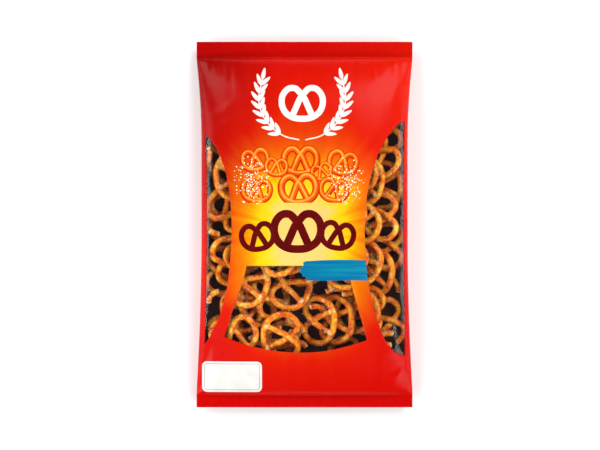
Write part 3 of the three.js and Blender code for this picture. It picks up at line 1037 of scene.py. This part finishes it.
def baked(name, mesh, points, upwards, crumb, salted, crust, *replaced):
    """A finished piece from a skin, with the attributes that the crust and the salt read."""
    placed = held_in_bag(points)
    x, y, _ = placed.T
    from_edge = np.minimum.reduce([above_bottom_seal(y), below_top_seal(y), half_width(y) - np.abs(x)])
    mesh.vertices.foreach_set("co", placed.astype(np.float32).ravel())
    store(mesh, "crumb", crumb)
    store(mesh, "upwards", upwards)
    store(mesh, "salted", salted * (crumb < 0.1) * (from_edge > SALT_MARGIN))
    mesh.polygons.foreach_set("use_smooth", np.full(len(mesh.polygons), True))
    mesh.materials.clear()
    mesh.materials.append(crust)
    mesh.update()
    mesh.name = name
    return finish_piece(name, mesh, "pretzel_crust", *replaced)


def make_pretzel(number, node, crust, random):
    tubes, ends = rope_pieces(random)
    mesh = fused(tubes)
    local, normals, crumb = roughened(mesh, ends, random)
    local[:, 2] += 0.65 * np.maximum(FLAT_UNDER - local[:, 2], 0)
    origin, axes = pose_of(node)
    if random.random() < TURNED_CHANCE:
        axes = axes * np.array([[-1], [1], [-1]])
    salted = facing_up(normals) * random.uniform(0.15, 1)
    # upwards is how far each point faces world up; the crust paints shade on what faces away.
    upwards = (normals @ axes)[:, 2]
    name = f"baked_pretzel_{number:02d}"
    return baked(name, mesh, origin + local @ axes, upwards, crumb, salted, crust, node)


# ---------- Broken bits ----------

BIT_TRIES = 9000
BIT_LIMIT = 80
BIT_RADIUS = 2.6 * MM
BIT_SPACE = 0.3 * MM  # least gap round a bit, as measured at sampled points
BIT_LOW_CORNER = (-84 * MM, -142 * MM)  # of where their middles may be
BIT_HIGH_CORNER = (84 * MM, 138 * MM)
BIT_LIFT = 13 * MM  # highest above the back


def bow_of_rope(random):
    """The middle line of one broken bow of rope, somewhere in the bag."""
    middle = random.uniform(BIT_LOW_CORNER, BIT_HIGH_CORNER)
    bend = random.uniform(7, 16) * MM
    length = random.uniform(9, 26) * MM
    angle = random.uniform(0, 2 * np.pi) + np.linspace(0, length / bend, int(length / MM) + 1)
    flat = middle + bend * np.column_stack([np.cos(angle), np.sin(angle)])
    x, y = (flat - flat.mean(axis=0) + middle).T
    lift = random.uniform(0, 1) ** 1.5 * BIT_LIFT
    tilt = np.linspace(0, random.uniform(-3, 3) * MM, len(x))
    z = back_height(x, y).max() + BIT_RADIUS + lift + tilt - tilt.min()
    return np.column_stack([x, y, z])


def distance_between(line, other):
    return np.linalg.norm(line[:, None] - other, axis=2).min()


def make_bits(pretzels, crust, random):
    """Broken bows and ends of rope that lie in gaps between the whole pretzels."""
    skins = np.vstack([coordinates(pretzel.data)[::4] for pretzel in pretzels])
    taken = kdtree.KDTree(len(skins))
    for i, point in enumerate(skins):
        taken.insert(point, i)
    taken.balance()
    tubes, lines = [], []
    for _ in range(BIT_TRIES):
        line = bow_of_rope(random)
        x, y, z = line.T
        under_roof = np.all(z + BIT_RADIUS < roof_height(x, y))
        in_bag = under_roof and np.all(np.abs(x) + BIT_RADIUS < half_width(y))
        clear = in_bag and all(taken.find(point)[2] > BIT_RADIUS + BIT_SPACE for point in line[::2])
        if clear and all(distance_between(line, other) > 2 * BIT_RADIUS + BIT_SPACE for other in lines):
            radii = BIT_RADIUS * (1 + 0.05 * np.sin(np.linspace(0, random.uniform(2, 9), len(line))))
            radii[[0, -1]] *= 0.8
            tubes.append(tube(line, radii))
            lines.append(line)
        if len(lines) == BIT_LIMIT:
            break
    mesh = fused(tubes)
    tips = np.vstack([line[[0, -1]] for line in lines])
    points, normals, crumb = roughened(mesh, tips, random)
    salted = facing_up(normals) * 0.6
    # normals[:, 2] is how far each point faces up, which the crust reads for its painted shade.
    return baked("broken_bits", mesh, points, normals[:, 2], crumb, salted, crust)


# ---------- Salt ----------

SALT_PER_SQUARE_METRE = 75000.0
GRAIN_RADIUS = 0.47 * MM
SMALLEST_GRAIN = (0.55, 0.7, 0.55)  # shares of the radius
LARGEST_GRAIN = (1.25, 1.5, 1.0)
FULL_TURN = (6.28, 6.28, 6.28)


def salt_tree():
    """Scatters grains over faces, thicker where the attribute "salted" is higher."""
    tree = bpy.data.node_groups.new("salt_scatter", "GeometryNodeTree")
    sockets = {"Pretzels": "Geometry", "Density": "Float", "Grain radius": "Float", "Seed": "Int",
               "Finish": "Material"}
    for name, kind in sockets.items():
        tree.interface.new_socket(name, in_out="INPUT", socket_type="NodeSocket" + kind)
    tree.interface.new_socket("Grains", in_out="OUTPUT", socket_type="NodeSocketGeometry")

    def node(kind, inputs=None, **settings):
        made = tree.nodes.new(kind)
        for key, value in settings.items():
            setattr(made, key, value)
        for key, value in (inputs or {}).items():
            if isinstance(value, bpy.types.NodeSocket):
                tree.links.new(value, made.inputs[key])
            else:
                made.inputs[key].default_value = value
        return made

    given = node("NodeGroupInput").outputs
    salted = node("GeometryNodeInputNamedAttribute", {"Name": "salted"}, data_type="FLOAT")
    density = node("ShaderNodeMath", {0: given["Density"], 1: salted.outputs["Attribute"]},
                   operation="MULTIPLY")
    points = node("GeometryNodeDistributePointsOnFaces",
                  {"Mesh": given["Pretzels"], "Density": density.outputs[0], "Seed": given["Seed"]})
    grain = node("GeometryNodeMeshIcoSphere", {"Radius": given["Grain radius"], "Subdivisions": 1})
    turn = node("FunctionNodeRandomValue", {0: (0.0, 0.0, 0.0), 1: FULL_TURN, "Seed": given["Seed"]},
                data_type="FLOAT_VECTOR")
    size = node("FunctionNodeRandomValue", {0: SMALLEST_GRAIN, 1: LARGEST_GRAIN, "Seed": given["Seed"]},
                data_type="FLOAT_VECTOR")
    grains = node("GeometryNodeInstanceOnPoints",
                  {"Points": points.outputs["Points"], "Instance": grain.outputs["Mesh"],
                   "Rotation": turn.outputs[0], "Scale": size.outputs[0]})
    solid = node("GeometryNodeRealizeInstances", {"Geometry": grains.outputs["Instances"]})
    coated = node("GeometryNodeSetMaterial",
                  {"Geometry": solid.outputs["Geometry"], "Material": given["Finish"]})
    result = node("NodeGroupOutput")
    tree.links.new(coated.outputs["Geometry"], result.inputs["Grains"])
    return tree


def make_salt(pretzels):
    """Grains on all the pretzels, as one plain mesh."""
    points, faces, salted, first = [], [], [], 0
    for pretzel in pretzels:
        mesh = pretzel.data
        points.append(coordinates(mesh))
        values = np.zeros(len(mesh.vertices), np.float32)
        mesh.attributes["salted"].data.foreach_get("value", values)
        salted.append(values)
        faces += [[first + i for i in polygon.vertices] for polygon in mesh.polygons]
        first += len(mesh.vertices)
    ground = mesh_from("salt_ground", np.vstack(points), faces, [])
    store(ground, "salted", np.concatenate(salted))
    scatter = add_object("salt_ground", ground)
    tree = salt_tree()
    modifier = scatter.modifiers.new("scatter", "NODES")
    modifier.node_group = tree
    chosen = {"Density": SALT_PER_SQUARE_METRE, "Grain radius": GRAIN_RADIUS, "Seed": SEED,
              "Finish": salt_crystal()}
    for item in tree.interface.items_tree:
        if item.in_out == "INPUT" and item.name in chosen:
            modifier[item.identifier] = chosen[item.name]
    evaluated = scatter.evaluated_get(bpy.context.evaluated_depsgraph_get())
    grains = bpy.data.meshes.new_from_object(evaluated)
    bpy.data.objects.remove(scatter)
    return finish_piece("salt_grains", grains, "salt")


# ---------- Assembly ----------

add_camera()
add_studio()
make_film()

random = np.random.default_rng(SEED)
crust = baked_crust()
pretzel_nodes = sorted(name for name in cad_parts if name.startswith("pretzel_"))
pretzels = [make_pretzel(i, node, crust, random) for i, node in enumerate(pretzel_nodes, start=1)]
bits = make_bits(pretzels, crust, np.random.default_rng(SEED + 1))
make_salt([*pretzels, bits])
